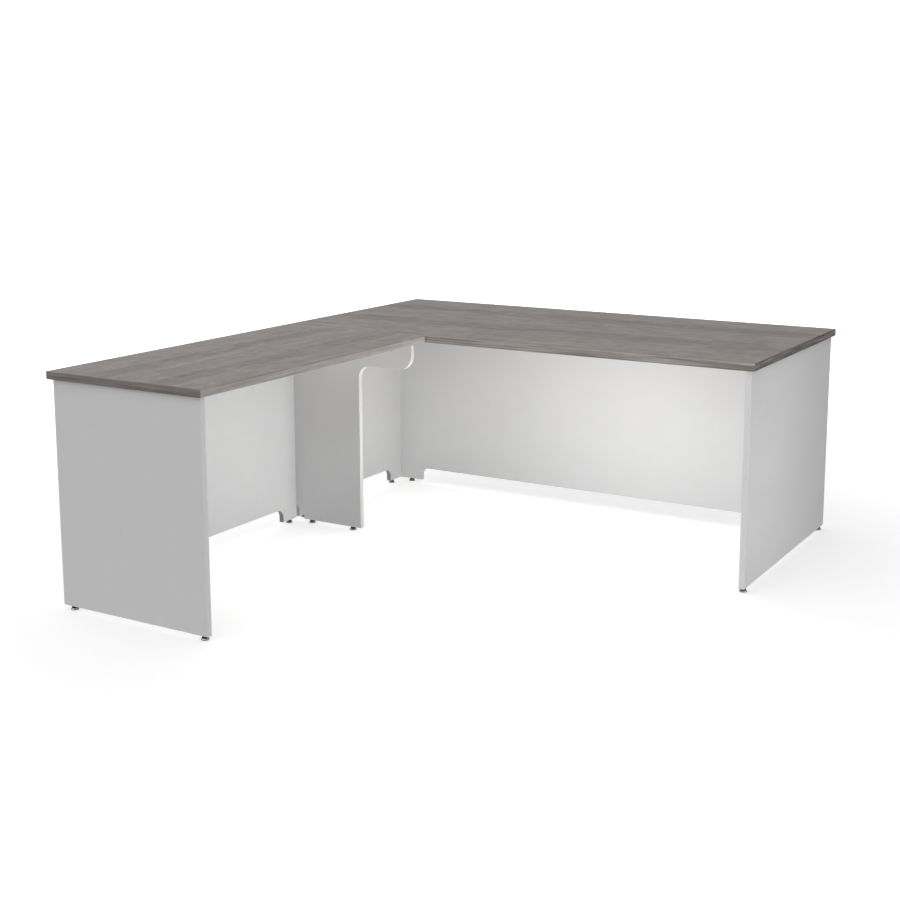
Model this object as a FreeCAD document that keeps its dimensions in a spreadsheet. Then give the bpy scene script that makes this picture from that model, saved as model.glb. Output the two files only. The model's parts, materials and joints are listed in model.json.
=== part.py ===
import FreeCAD, Part
import Sketcher
import math
import os

# L-shaped workstation: a main desk with a return on its left-hand side.
# Millimetres. +X runs along the main desk to the right, +Y points from the
# user to the back edge of the main desk, +Z is up. The origin is on the floor
# under the middle of the overall outline.

V = FreeCAD.Vector
doc = FreeCAD.newDocument("l_workstation")

# ---------------------------------------------------------------- dimensions
CELLS = [
    ("main_length", 1828.8, "main work top, along X"),
    ("main_depth", 914.4, "main work top, along Y"),
    ("return_width", 609.6, "return work top, along X"),
    ("return_length", 1219.2, "return work top, along Y"),
    ("top_thickness", 25.4, "both work tops"),
    ("panel_thickness", 19.05, "all upright panels"),
    ("panel_height", 720.0, "upright panels, without glides"),
    ("glide_height", 12.0, "floor to panel bottom, glides screwed in"),
    ("top_band", 2.0, "edge band of the work tops"),
    ("top_band_round", 1.2, "rounded arris of that band"),
    ("panel_band", 1.0, "edge band of the panels"),
    ("panel_band_round", 0.6, "rounded arris of that band"),
    ("gable_inset", 10.4, "end of a top to the outer face of its gable"),
    ("gable_back_inset", 18.4, "back edge of a top to the gable's back edge"),
    ("gable_front_inset", 8.0, "front edge of a top to the gable's front edge"),
    ("side_inset", 22.75, "left edge of the tops to the side panels"),
    ("modesty_recess", 179.45, "back edge of the main top to its modesty panel"),
    ("seam_inset", 10.15, "seam of the tops to the corner support"),
    ("raised_edge", 63.5, "floor to the raised bottom edges"),
    ("step_radius", 31.75, "rounded step beside a foot section"),
    ("foot_length", 82.4, "foot section of the side panels"),
    ("side_back_foot", 102.5, "rear foot section of the main side panel"),
    ("main_foot_length", 102.5, "foot section of the main modesty panel"),
    ("support_depth", 322.6, "corner support below the knee notch"),
    ("arm_reach", 549.9, "corner support along the work top"),
    ("arm_height", 101.6, "height of the support's arm"),
    ("notch_radius", 46.0, "rounded corner between the notch and the arm"),
    ("arm_radius", 52.0, "rounded lower corner of the arm's end"),
    ("scribe_width", 60.5, "cut-out at the support's rear foot"),
    ("scribe_height", 15.0, "upright side of that cut-out"),
    ("gable_glide_front", 18.5, "gable front edge to glide axis"),
    ("gable_glide_back", 36.0, "gable back edge to glide axis"),
    ("return_glide", 35.0, "return modesty end to glide axis"),
    ("side_glide_front", 43.7, "main side panel front end to glide axis"),
    ("side_glide_back", 80.0, "main side panel rear end to glide axis"),
    ("main_glide", 48.7, "main modesty end to glide axis"),
    ("support_glide_front", 41.8, "corner support front edge to glide axis"),
    ("support_glide_back", 91.8, "corner support rear edge to glide axis"),
    ("base_diameter", 25.4, "glide base disc"),
    ("base_height", 5.5, "glide base disc"),
    ("collar_across", 17.0, "hexagonal collar across flats"),
    ("stem_diameter", 7.9, "threaded stem over the crests"),
    ("stem_root", 6.9, "threaded stem in the grooves"),
    ("stem_pitch", 1.25, "thread pitch"),
    ("stem_top", 40.0, "floor to the end of the stem"),
    ("insert_diameter", 10.9, "threaded insert, outside"),
    ("insert_bore", 8.0, "threaded insert, inside"),
    ("insert_length", 22.0, "threaded insert"),
    ("stem_bore", 9.0, "hole in the panel above the insert"),
    ("stem_bore_depth", 36.0, "depth of that hole from the panel bottom"),
    ("cam_diameter", 15.0, "cam lock"),
    ("cam_length", 12.5, "cam lock"),
    ("cam_setback", 34.0, "panel end to cam axis"),
    ("bolt_diameter", 7.0, "cam bolt shank"),
    ("bolt_thread", 5.0, "cam bolt thread"),
    ("bolt_depth", 11.0, "cam bolt thread, length in the panel face"),
    ("dowel_diameter", 8.0, "wooden dowel"),
    ("dowel_length", 30.0, "wooden dowel"),
    ("dowel_depth", 12.0, "dowel in the panel face"),
    ("joint_low", 188.0, "lower cam above the panel bottom"),
    ("joint_high", 548.0, "upper cam above the panel bottom"),
    ("joint_dowel", 64.0, "dowel above its cam"),
    ("joint_stagger", 32.0, "lift of the fittings on the support's other face"),
    ("bracket_leg", 38.0, "angle bracket, both legs"),
    ("bracket_width", 40.0, "angle bracket"),
    ("bracket_sheet", 2.0, "angle bracket sheet"),
    ("bracket_bend", 3.0, "outer bend radius of the angle bracket"),
    ("bracket_hole", 4.4, "screw holes of the angle bracket"),
    ("bracket_gauge", 24.0, "bracket corner to screw"),
    ("bracket_pair", 20.0, "distance of two screws"),
    ("screw_shank", 3.5, "wood screw"),
    ("screw_length", 16.0, "wood screw under the head"),
    ("screw_head", 8.0, "wood screw head"),
    ("screw_head_height", 2.4, "wood screw head"),
    ("fit_gap", 0.05, "gap around pressed or screwed pieces"),
]
sheet = doc.addObject("Spreadsheet::Sheet", "Dims")
for row, (alias, value, note) in enumerate(CELLS, 1):
    sheet.set("A%d" % row, note)
    sheet.set("B%d" % row, repr(value))
    sheet.setAlias("B%d" % row, alias)
doc.recompute()


class Dim:
    """A length that knows its value and the sheet expression behind it."""

    def __init__(self, value, text):
        self.v = float(value)
        self.t = text

    def _join(self, other, sign, value):
        return Dim(value, "(%s %s %s)" % (self.t, sign, other.t))

    def __add__(self, o):
        o = dim(o)
        return self._join(o, "+", self.v + o.v)

    def __radd__(self, o):
        return dim(o) + self

    def __sub__(self, o):
        o = dim(o)
        return self._join(o, "-", self.v - o.v)

    def __rsub__(self, o):
        return dim(o) - self

    def __mul__(self, o):
        o = dim(o)
        return self._join(o, "*", self.v * o.v)

    def __rmul__(self, o):
        return dim(o) * self

    def __truediv__(self, o):
        o = dim(o)
        return self._join(o, "/", self.v / o.v)

    def __neg__(self):
        return Dim(-self.v, "(0 - %s)" % self.t)


def dim(x):
    if isinstance(x, Dim):
        return x
    if x < 0:
        return Dim(x, "(0 - %r)" % (-float(x)))
    return Dim(x, "%r" % float(x))


class Cells:
    pass


d = Cells()
for alias, value, note in CELLS:
    setattr(d, alias, Dim(sheet.get(alias), "Dims." + alias))


def bind(obj, prop, value):
    obj.setExpression(prop, dim(value).t)


def put(obj, x, y, z, rotation=None):
    """Place an object: its position follows the sheet."""
    x, y, z = dim(x), dim(y), dim(z)
    obj.Placement = FreeCAD.Placement(V(x.v, y.v, z.v), rotation or FreeCAD.Rotation())
    bind(obj, "Placement.Base.x", x)
    bind(obj, "Placement.Base.y", y)
    bind(obj, "Placement.Base.z", z)


# ------------------------------------------------------------------- helpers
def plane_of(body, role):
    return [f for f in body.Origin.OriginFeatures if f.Role == role][0]


def new_sketch(body, name, role, lift=None):
    sk = body.newObject("Sketcher::SketchObject", name)
    sk.AttachmentSupport = [(plane_of(body, role), "")]
    sk.MapMode = "FlatFace"
    if lift is not None:
        lift = dim(lift)
        sk.AttachmentOffset = FreeCAD.Placement(V(0, 0, lift.v), FreeCAD.Rotation())
        bind(sk, "AttachmentOffset.Base.z", lift)
    return sk


def name_and_bind(sk, index, name, value):
    sk.renameConstraint(index, name)
    bind(sk, "Constraints." + name, value)


def outline(sk, points, tag="p"):
    """Closed outline of straight sides; a point may carry a corner radius.

    points: (x, y) or (x, y, radius); rounded corners lie between a level and
    an upright side.
    """
    pts = [(dim(p[0]), dim(p[1]), dim(p[2]) if len(p) > 2 else None) for p in points]
    n = len(pts)
    xy = [V(p[0].v, p[1].v, 0) for p in pts]
    go = [(xy[(i + 1) % n] - xy[i]) for i in range(n)]
    for g in go:
        g.normalize()
    starts, ends = [], []
    for i in range(n):
        j = (i + 1) % n
        a, b = xy[i], xy[j]
        if pts[i][2] is not None:
            a = a + go[i] * pts[i][2].v
        if pts[j][2] is not None:
            b = b - go[i] * pts[j][2].v
        starts.append(a)
        ends.append(b)
    lines = list(sk.addGeometry([Part.LineSegment(starts[i], ends[i]) for i in range(n)], False))
    arcs = {}
    for j in range(n):
        if pts[j][2] is None:
            continue
        i = (j - 1) % n
        r = pts[j][2].v
        a, b = ends[i], starts[j]
        turn = go[i].x * go[j].y - go[i].y * go[j].x
        side = V(-go[i].y, go[i].x, 0) * (1 if turn > 0 else -1)
        c = a + side * r
        first, last = (a, b) if turn > 0 else (b, a)
        a0 = math.atan2(first.y - c.y, first.x - c.x)
        a1 = math.atan2(last.y - c.y, last.x - c.x)
        if a1 < a0:
            a1 += 2 * math.pi
        arc = sk.addGeometry(Part.ArcOfCircle(Part.Circle(c, V(0, 0, 1), r), a0, a1), False)
        arcs[j] = (arc, 1 if turn > 0 else 2, 2 if turn > 0 else 1)
    level = [abs(g.y) < 1e-9 for g in go]
    upright = [abs(g.x) < 1e-9 for g in go]
    rules, named = [], {}

    def rule(constraint, name=None, value=None):
        if name:
            named[len(rules)] = (name, value)
        rules.append(constraint)

    for i in range(n):
        j = (i + 1) % n
        if level[i]:
            rule(Sketcher.Constraint("Horizontal", lines[i]))
        elif upright[i]:
            rule(Sketcher.Constraint("Vertical", lines[i]))
        if j in arcs:
            arc, head, tail = arcs[j]
            rule(Sketcher.Constraint("Tangent", lines[i], 2, arc, head))
            rule(Sketcher.Constraint("Tangent", arc, tail, lines[j], 1))
            rule(Sketcher.Constraint("Radius", arc, pts[j][2].v), "%s_r%d" % (tag, j), pts[j][2])
        else:
            rule(Sketcher.Constraint("Coincident", lines[i], 2, lines[j], 1))

    def hold(i, along, value, name):
        if abs(value.v) < 1e-9:
            axis = -2 if along == "DistanceX" else -1
            rule(Sketcher.Constraint("PointOnObject", lines[i], 1, axis))
        else:
            rule(Sketcher.Constraint(along, -1, 1, lines[i], 1, value.v), name, value)

    for i in range(n):
        before = (i - 1) % n
        if upright[i]:
            hold(i, "DistanceX", pts[i][0], "%s_x%d" % (tag, i))
        elif level[i]:
            hold(i, "DistanceY", pts[i][1], "%s_y%d" % (tag, i))
        if i in arcs:
            continue
        if not (upright[i] or upright[before]):
            hold(i, "DistanceX", pts[i][0], "%s_vx%d" % (tag, i))
        if not (level[i] or level[before]):
            hold(i, "DistanceY", pts[i][1], "%s_vy%d" % (tag, i))
    index = sk.addConstraint(rules)
    for k, (name, value) in named.items():
        name_and_bind(sk, index[k], name, value)
    return sk


def rings(sk, circles, tag="c"):
    """Circles (x, y, diameter) at positions from the sheet."""
    for k, (x, y, dia) in enumerate(circles):
        x, y, dia = dim(x), dim(y), dim(dia)
        g = sk.addGeometry(Part.Circle(V(x.v, y.v, 0), V(0, 0, 1), dia.v / 2), False)
        c = sk.addConstraint(Sketcher.Constraint("Diameter", g, dia.v))
        name_and_bind(sk, c, "%s_d%d" % (tag, k), dia)
        for along, value, axis in (("DistanceX", x, -2), ("DistanceY", y, -1)):
            if abs(value.v) < 1e-9:
                sk.addConstraint(Sketcher.Constraint("PointOnObject", g, 3, axis))
            else:
                c = sk.addConstraint(Sketcher.Constraint(along, -1, 1, g, 3, value.v))
                name_and_bind(sk, c, "%s_%s%d" % (tag, along[-1].lower(), k), value)
    return sk


def new_body(label):
    body = doc.addObject("PartDesign::Body", label)
    body.Label = label
    return body


def pad(body, name, sk, length, reverse=False):
    f = body.newObject("PartDesign::Pad", name)
    f.Profile = sk
    f.Length = dim(length).v
    bind(f, "Length", length)
    f.Reversed = reverse
    doc.recompute()
    return f


def pocket(body, name, sk, depth, reverse=False, expect=None):
    before = body.Shape.Volume
    f = body.newObject("PartDesign::Pocket", name)
    f.Profile = sk
    f.Type = "Length"
    f.Length = dim(depth).v
    bind(f, "Length", depth)
    f.Reversed = reverse
    doc.recompute()
    cut_away = before - body.Shape.Volume
    if cut_away <= 0 or (expect is not None and abs(cut_away - expect) > 0.02 * expect):
        raise RuntimeError("%s removed %.3f" % (name, cut_away))
    return f


def revolve(body, name, sk):
    f = body.newObject("PartDesign::Revolution", name)
    f.Profile = sk
    f.ReferenceAxis = (sk, ["V_Axis"])
    f.Angle = 360.0
    doc.recompute()
    return f


def soften(body, name, radius, test, chamfer=False):
    """Round, or bevel, the edges of the body that pass the test."""
    base = body.Tip
    picks = ["Edge%d" % (i + 1) for i, e in enumerate(base.Shape.Edges) if test(e)]
    if not picks:
        raise RuntimeError("no edges for " + name)
    f = body.newObject("PartDesign::Chamfer" if chamfer else "PartDesign::Fillet", name)
    f.Base = (base, picks)
    if chamfer:
        f.Size = dim(radius).v
        bind(f, "Size", radius)
    else:
        f.Radius = dim(radius).v
        bind(f, "Radius", radius)
    doc.recompute()
    return f


TURN = {
    "+z": FreeCAD.Rotation(),
    "-z": FreeCAD.Rotation(V(1, 0, 0), 180),
    "+x": FreeCAD.Rotation(V(0, 1, 0), 90),
    "-x": FreeCAD.Rotation(V(0, 1, 0), -90),
    "+y": FreeCAD.Rotation(V(1, 0, 0), -90),
    "-y": FreeCAD.Rotation(V(1, 0, 0), 90),
}
drill_count = [0]


def drill(x, y, z, way, diameter, depth):
    """A drill that enters at x, y, z and goes depth deep along way."""
    drill_count[0] += 1
    c = doc.addObject("Part::Cylinder", "drill_%03d" % drill_count[0])
    bind(c, "Radius", dim(diameter) / 2)
    over = 1.0
    bind(c, "Height", dim(depth) + over)
    step = {"x": (1, 0, 0), "y": (0, 1, 0), "z": (0, 0, 1)}[way[1]]
    s = -over if way[0] == "+" else over
    put(c, dim(x) + s * step[0], dim(y) + s * step[1], dim(z) + s * step[2], TURN[way])
    return c


def cut(label, base, tools):
    """Base minus a set of drills, under the label of the finished piece."""
    doc.recompute()
    if len(tools) == 1:
        tool = tools[0]
    else:
        tool = doc.addObject("Part::MultiFuse", label + "_drills")
        tool.Shapes = tools
    f = doc.addObject("Part::Cut", label)
    f.Label = label
    f.Base = base
    f.Tool = tool
    doc.recompute()
    if f.Shape.Volume >= base.Shape.Volume:
        raise RuntimeError(label + ": nothing drilled")
    return f


NODES = []


def node(obj, label=None):
    if label:
        obj.Label = label
    NODES.append(obj)
    return obj


def group(label, items):
    f = doc.addObject("Part::Compound", label)
    f.Label = label
    f.Links = items
    return node(f)


def copies(label, master, places):
    """Identical small pieces at many places, kept as one group."""
    items = []
    for k, (x, y, z, rotation) in enumerate(places):
        link = doc.addObject("App::Link", "%s_%02d" % (label, k + 1))
        link.LinkedObject = master
        link.LinkTransform = False
        put(link, x, y, z, rotation)
        items.append(link)
    return group(label, items)


# ------------------------------------------------------- positions in the row
LEFT = -(d.main_length / 2)
RIGHT = d.main_length / 2
BACK = (d.main_depth + d.return_length) / 2
FRONT = -((d.main_depth + d.return_length) / 2)
SEAM = BACK - d.main_depth
INNER = LEFT + d.return_width
FLOOR = d.glide_height
UNDER = d.glide_height + d.panel_height
T = d.panel_thickness
B = d.panel_band

LG_OUT = FRONT + d.gable_inset            # return end gable, outer face
LG_IN = LG_OUT + T
RG_OUT = RIGHT - d.gable_inset            # main end gable, outer face
RG_IN = RG_OUT - T
SIDE_OUT = LEFT + d.side_inset            # side panels, outer face
SIDE_IN = SIDE_OUT + T
SUP_IN = SEAM - d.seam_inset              # corner support, face to the main desk
SUP_OUT = SUP_IN - T                      # corner support, face to the return
MM_BACK = BACK - d.modesty_recess         # main modesty panel, back face
MM_FRONT = MM_BACK - T
HALF = T / 2

# ---------------------------------------------------------------- work tops
def work_top(label, x0, y0, length, depth, pilots):
    """Board with four edge bands around it."""
    e = d.top_band
    body = new_body(label + "_blank")
    sk = new_sketch(body, label + "_outline", "XY_Plane")
    w, h = length - e * 2, depth - e * 2
    outline(sk, [(0, 0), (w, 0), (w, h), (0, h)])
    pad(body, label + "_pad", sk, d.top_thickness)
    put(body, x0 + e, y0 + e, UNDER)
    node(cut(label + "_board", body, [drill(x, y, UNDER, "+z", d.screw_shank + d.fit_gap * 2,
                                            d.screw_length - 1.5) for x, y in pilots]))
    strips = []
    spec = [
        ("front", x0, y0, length, e, "y", -1),
        ("back", x0, y0 + depth - e, length, e, "y", 1),
        ("left", x0, y0 + e, e, depth - e * 2, "x", -1),
        ("right", x0 + length - e, y0 + e, e, depth - e * 2, "x", 1),
    ]
    for side, sx, sy, sw, sh, axis, sign in spec:
        strip = new_body("%s_band_%s" % (label, side))
        sk = new_sketch(strip, "%s_band_%s_outline" % (label, side), "XY_Plane")
        outline(sk, [(0, 0), (sw, 0), (sw, sh), (0, sh)])
        pad(strip, "%s_band_%s_pad" % (label, side), sk, d.top_thickness)
        put(strip, sx, sy, UNDER)
        doc.recompute()
        face = (sh.v if axis == "y" else sw.v) if sign > 0 else 0.0
        w_len = sw.v

        def outer(edge, axis=axis, face=face, w_len=w_len):
            b = edge.BoundBox
            if axis == "y":
                on = abs(b.YMin - face) < 1e-6 and abs(b.YMax - face) < 1e-6
            else:
                on = abs(b.XMin - face) < 1e-6 and abs(b.XMax - face) < 1e-6
            upright_edge = b.ZLength > 1.0
            return on and (not upright_edge or axis == "y")

        soften(strip, "%s_band_%s_arris" % (label, side), d.top_band_round, outer)
        strips.append(strip)
    group(label + "_edge_bands", strips)


# angle brackets: x, y of the corner line's middle and the way the level leg points
G, Q = d.bracket_gauge, d.bracket_pair / 2
BRACKETS = [
    ("return", LEFT + 180.0, LG_IN, "+y"),
    ("return", LEFT + 460.0, LG_IN, "+y"),
    ("return", LEFT + 180.0, SUP_OUT, "-y"),
    ("return", LEFT + 470.0, SUP_OUT, "-y"),
    ("return", SIDE_IN, FRONT + 340.0, "+x"),
    ("return", SIDE_IN, FRONT + 880.0, "+x"),
    ("main", LEFT + 120.0, SUP_IN, "+y"),
    ("main", LEFT + 520.0, SUP_IN, "+y"),
    ("main", SIDE_IN, BACK - 600.0, "+x"),
    ("main", SIDE_IN, BACK - 330.0, "+x"),
    ("main", LEFT + 300.0, MM_BACK, "+y"),
    ("main", LEFT + 914.4, MM_BACK, "+y"),
    ("main", LEFT + 1520.0, MM_BACK, "+y"),
    ("main", RG_IN, BACK - 640.0, "-x"),
    ("main", RG_IN, BACK - 330.0, "-x"),
]
TOP_PILOTS = {"main": [], "return": []}
WALL_PILOTS = []       # x, y, z, way into the panel
for top, bx, by, way in BRACKETS:
    s = 1 if way[0] == "+" else -1
    for q in (-1, 1):
        if way[1] == "y":
            TOP_PILOTS[top].append((bx + Q * q, by + G * s))
            WALL_PILOTS.append((bx + Q * q, by, UNDER - G, ("-" if s > 0 else "+") + "y"))
        else:
            TOP_PILOTS[top].append((bx + G * s, by + Q * q))
            WALL_PILOTS.append((bx, by + Q * q, UNDER - G, ("-" if s > 0 else "+") + "x"))

work_top("main_top", LEFT, SEAM, d.main_length, d.main_depth, TOP_PILOTS["main"])
work_top("return_top", LEFT, FRONT, d.return_width, d.return_length, TOP_PILOTS["return"])

# ------------------------------------------------------------ upright panels
def bracket_drills(test):
    out = []
    for x, y, z, way in WALL_PILOTS:
        if test(x.v, y.v):
            out.append(drill(x, y, z, way, d.screw_shank + d.fit_gap * 2, d.screw_length - 1.5))
    return out


def insert_drills(x, y, only_band=False):
    hole = d.insert_diameter + d.fit_gap * 2
    out = [drill(x, y, FLOOR, "+z", hole, d.insert_length + 0.2)]
    if not only_band:
        out.append(drill(x, y, FLOOR, "+z", d.stem_bore, d.stem_bore_depth))
    return out


def across_x(label, x0, points, thickness=None):
    """Board whose faces look along X; points are (y from its start, z)."""
    body = new_body(label)
    sk = new_sketch(body, label + "_outline", "YZ_Plane")
    outline(sk, points)
    pad(body, label + "_pad", sk, T)
    return body


def across_y(label, points):
    """Board whose faces look along Y; points are (x from its start, z)."""
    body = new_body(label)
    sk = new_sketch(body, label + "_outline", "XZ_Plane")
    outline(sk, points)
    pad(body, label + "_pad", sk, T, reverse=True)
    return body


def on_faces(axis, inner):
    """Edges of a band that lie on its two faces, but not where it meets the board."""
    def test(edge):
        b = edge.BoundBox
        lo, hi = (b.XMin, b.XMax) if axis == "x" else (b.YMin, b.YMax)
        flat = hi - lo < 1e-6 and (abs(lo) < 1e-6 or abs(hi - T.v) < 1e-6)
        if not flat:
            return False
        p = edge.valueAt((edge.FirstParameter + edge.LastParameter) / 2)
        return inner(p.y if axis == "x" else p.x, p.z)
    return test


H = d.panel_height
CAM_HOLE = d.cam_diameter + 0.2
CAMS = []      # x, y, z, way out of the board, way to the panel end
BOLTS = []     # x, y, z at the meeting face, way into the cam
DOWELS = []    # x, y, z at the meeting face, way into the butting panel


def butt_joint(axis, face, other, way, cam_face, cam_out, lift=None):
    """Two cams with bolts and two dowels where a panel butts against a face.

    axis: the way the butting panel runs; face: the meeting plane; other: the
    middle plane of the butting panel; way: sign into the butting panel;
    cam_face: the face the cams are put into; cam_out: the way it looks.
    Returns the drills of the butting panel and of the panel it meets.
    """
    lift = lift or dim(0)
    into = ("+" if way > 0 else "-") + axis
    back = ("-" if way > 0 else "+") + axis
    opposite = {"+": "-", "-": "+"}
    mine, theirs = [], []
    for level in (d.joint_low, d.joint_high):
        z = FLOOR + level + lift
        zd = z + d.joint_dowel
        run = face + d.cam_setback * way

        def at(a, b):
            return (a, b) if axis == "x" else (b, a)

        x, y = at(face, other)
        mine.append(drill(x, y, z, into, d.bolt_diameter + 1.0, d.cam_setback - 6.0))
        theirs.append(drill(x, y, z, back, d.bolt_thread + d.fit_gap * 2, d.bolt_depth + 0.5))
        mine.append(drill(x, y, zd, into, d.dowel_diameter + d.fit_gap * 2,
                          d.dowel_length - d.dowel_depth + 0.5))
        theirs.append(drill(x, y, zd, back, d.dowel_diameter + d.fit_gap * 2, d.dowel_depth + 0.5))
        cx, cy = at(run, cam_face)
        mine.append(drill(cx, cy, z, opposite[cam_out[0]] + cam_out[1], CAM_HOLE, d.cam_length + 1.0))
        CAMS.append((cx, cy, z, cam_out, back))
        BOLTS.append((x, y, z, into))
        DOWELS.append((x, y, zd, into))
    return mine, theirs


j_rm_lg = butt_joint("y", LG_IN, SIDE_OUT + HALF, 1, SIDE_OUT, "-x")
j_rm_sup = butt_joint("y", SUP_OUT, SIDE_OUT + HALF, -1, SIDE_OUT, "-x")
j_sp_sup = butt_joint("y", SUP_IN, SIDE_OUT + HALF, 1, SIDE_OUT, "-x", d.joint_stagger)
j_mm_sp = butt_joint("x", SIDE_IN, MM_FRONT + HALF, 1, MM_BACK, "+y")
j_mm_rg = butt_joint("x", RG_IN, MM_FRONT + HALF, -1, MM_BACK, "+y")

GLIDES = []


def foot(name, x, y):
    GLIDES.append((name, x, y))
    return x, y


# return end gable: faces look along Y
lg_x0 = LEFT + d.gable_back_inset
lg_w = d.return_width - d.gable_back_inset - d.gable_front_inset
lg_feet = [foot("return_gable_front", lg_x0 + lg_w - d.gable_glide_front, LG_OUT + HALF),
           foot("return_gable_back", lg_x0 + d.gable_glide_back, LG_OUT + HALF)]


def gable_bands(label, across, width, place, feet):
    outer = [(0, H), (0, 0), (width, 0), (width, H)]
    inner = [(width - B, H), (width - B, B), (B, B), (B, H)]
    band = across(label + "_strip", outer + inner)
    axis = "x" if across is across_x else "y"
    soften(band, label + "_arris", d.panel_band_round, on_faces(
        axis, lambda u, z: u < 1e-6 or z < 1e-6 or u > width.v - 1e-6))
    put(band, *place)
    tools = []
    for x, y in feet:
        tools += insert_drills(x, y, only_band=True)
    node(cut(label, band, tools))


body = across_y("return_gable_blank", [(B, B), (lg_w - B, B), (lg_w - B, H), (B, H)])
put(body, lg_x0, LG_OUT, FLOOR)
tools = bracket_drills(lambda x, y: abs(y - LG_IN.v) < 0.1) + j_rm_lg[1]
for x, y in lg_feet:
    tools += insert_drills(x, y)
node(cut("return_end_gable", body, tools))
gable_bands("return_gable_bands", across_y, lg_w, (lg_x0, LG_OUT, FLOOR), lg_feet)

# main end gable: faces look along X
rg_y0 = SEAM + d.gable_front_inset
rg_w = d.main_depth - d.gable_back_inset - d.gable_front_inset
rg_feet = [foot("main_gable_front", RG_IN + HALF, rg_y0 + d.gable_glide_front),
           foot("main_gable_back", RG_IN + HALF, rg_y0 + rg_w - d.gable_glide_back)]
body = across_x("main_gable_blank", RG_IN, [(B, B), (rg_w - B, B), (rg_w - B, H), (B, H)])
put(body, RG_IN, rg_y0, FLOOR)
tools = bracket_drills(lambda x, y: abs(x - RG_IN.v) < 0.1) + j_mm_rg[1]
for x, y in rg_feet:
    tools += insert_drills(x, y)
node(cut("main_end_gable", body, tools))


def across_x_plain(label, points):
    return across_x(label, RG_IN, points)


outer = [(0, H), (0, 0), (rg_w, 0), (rg_w, H)]
inner = [(rg_w - B, H), (rg_w - B, B), (B, B), (B, H)]
band = across_x_plain("main_gable_strip", outer + inner)
soften(band, "main_gable_arris", d.panel_band_round, on_faces(
    "x", lambda u, z: u < 1e-6 or z < 1e-6 or u > rg_w.v - 1e-6))
put(band, RG_IN, rg_y0, FLOOR)
tools = []
for x, y in rg_feet:
    tools += insert_drills(x, y, only_band=True)
node(cut("main_gable_bands", band, tools))

# raised bottom edge with a foot section at both ends
RISE = d.raised_edge - d.glide_height
R = d.step_radius


def raised_core(w, f0, f1, end_band=None):
    """Board outline inside its bottom band; f0 and f1 are the foot lengths."""
    e = end_band or dim(0)
    return [(0, B), (f0 - B, B), (f0 - B, RISE + B, R + B), (w - f1 + B, RISE + B, R + B),
            (w - f1 + B, B), (w - e, B), (w - e, H), (0, H)]


def raised_band(w, f0, f1, end=False):
    lower = [(0, 0), (f0, 0), (f0, RISE, R), (w - f1, RISE, R), (w - f1, 0), (w, 0)]
    if end:
        upper = [(w, H), (w - B, H), (w - B, B)]
    else:
        upper = [(w, B)]
    upper += [(w - f1 + B, B), (w - f1 + B, RISE + B, R + B), (f0 - B, RISE + B, R + B),
              (f0 - B, B), (0, B)]
    return lower + upper


def raised_test(axis, w, f0, f1, end=False):
    lo, hi = f0.v, (w - f1).v

    def inner(u, z):
        if z < 1e-6:
            return True
        if end and u > w.v - 1e-6:
            return True
        if abs(u - lo) < 1e-6 and z < RISE.v:
            return True
        if abs(u - hi) < 1e-6 and z < RISE.v:
            return True
        if abs(z - RISE.v) < 1e-6 and lo < u < hi:
            return True
        for cx in (lo + R.v, hi - R.v):
            if abs(math.hypot(u - cx, z - (RISE.v - R.v)) - R.v) < 1e-4 and lo < u < hi:
                return True
        return False
    return on_faces(axis, inner)


# return modesty panel
rm_y0, rm_w = LG_IN, SUP_OUT - LG_IN
rm_feet = [foot("return_modesty_front", SIDE_OUT + HALF, rm_y0 + d.return_glide),
           foot("return_modesty_back", SIDE_OUT + HALF, rm_y0 + rm_w - d.return_glide)]
body = across_x("return_modesty_blank", SIDE_OUT, raised_core(rm_w, d.foot_length, d.foot_length))
put(body, SIDE_OUT, rm_y0, FLOOR)
tools = bracket_drills(lambda x, y: abs(x - SIDE_IN.v) < 0.1 and y < SUP_OUT.v)
tools += j_rm_lg[0] + j_rm_sup[0]
for x, y in rm_feet:
    tools += insert_drills(x, y)
node(cut("return_modesty_panel", body, tools))
band = across_x("return_modesty_strip", SIDE_OUT, raised_band(rm_w, d.foot_length, d.foot_length))
soften(band, "return_modesty_arris", d.panel_band_round,
       raised_test("x", rm_w, d.foot_length, d.foot_length))
put(band, SIDE_OUT, rm_y0, FLOOR)
tools = []
for x, y in rm_feet:
    tools += insert_drills(x, y, only_band=True)
node(cut("return_modesty_band", band, tools))

# main side panel, in line with the return modesty panel
sp_y0, sp_w = SUP_IN, MM_BACK - SUP_IN
sp_feet = [foot("main_side_front", SIDE_OUT + HALF, sp_y0 + d.side_glide_front),
           foot("main_side_back", SIDE_OUT + HALF, sp_y0 + sp_w - d.side_glide_back)]
body = across_x("main_side_blank", SIDE_OUT, raised_core(sp_w, d.foot_length, d.side_back_foot, B))
put(body, SIDE_OUT, sp_y0, FLOOR)
tools = bracket_drills(lambda x, y: abs(x - SIDE_IN.v) < 0.1 and y > SUP_IN.v)
tools += j_sp_sup[0] + j_mm_sp[1]
for x, y in sp_feet:
    tools += insert_drills(x, y)
node(cut("main_side_panel", body, tools))
band = across_x("main_side_strip", SIDE_OUT, raised_band(sp_w, d.foot_length, d.side_back_foot, True))
soften(band, "main_side_arris", d.panel_band_round,
       raised_test("x", sp_w, d.foot_length, d.side_back_foot, True))
put(band, SIDE_OUT, sp_y0, FLOOR)
tools = []
for x, y in sp_feet:
    tools += insert_drills(x, y, only_band=True)
node(cut("main_side_bands", band, tools))

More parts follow.
